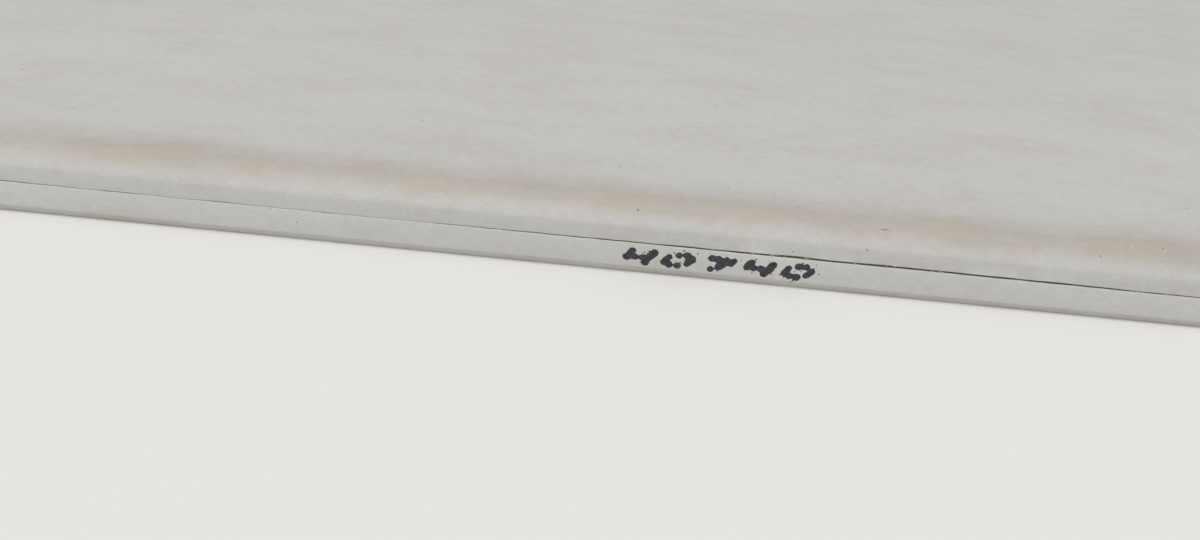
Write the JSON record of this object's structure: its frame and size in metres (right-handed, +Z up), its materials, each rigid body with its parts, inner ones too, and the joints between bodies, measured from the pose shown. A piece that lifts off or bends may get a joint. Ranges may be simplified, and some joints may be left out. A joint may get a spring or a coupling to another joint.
{
  "type": "drywall sheet",
  "caption": "Gypsum wallboard sheet in a paper wrap, with half-round tapered long edges and square cut ends.",
  "frame": {"origin": "middle of the back, on the surface the sheet lies on", "axes": "+X along the sheet's length, +Y across its width, +Z up out of the tapered face"},
  "size_m": [2.5, 1.2, 0.0125],
  "materials": {
    "board_paper": "matt uncoated multi-ply board paper, pale ivory grey; bare gypsum shows on the two cut ends"
  },
  "bodies": {
    "root": {"drywall_sheet": "board_paper"}
  },
  "joints": []
}
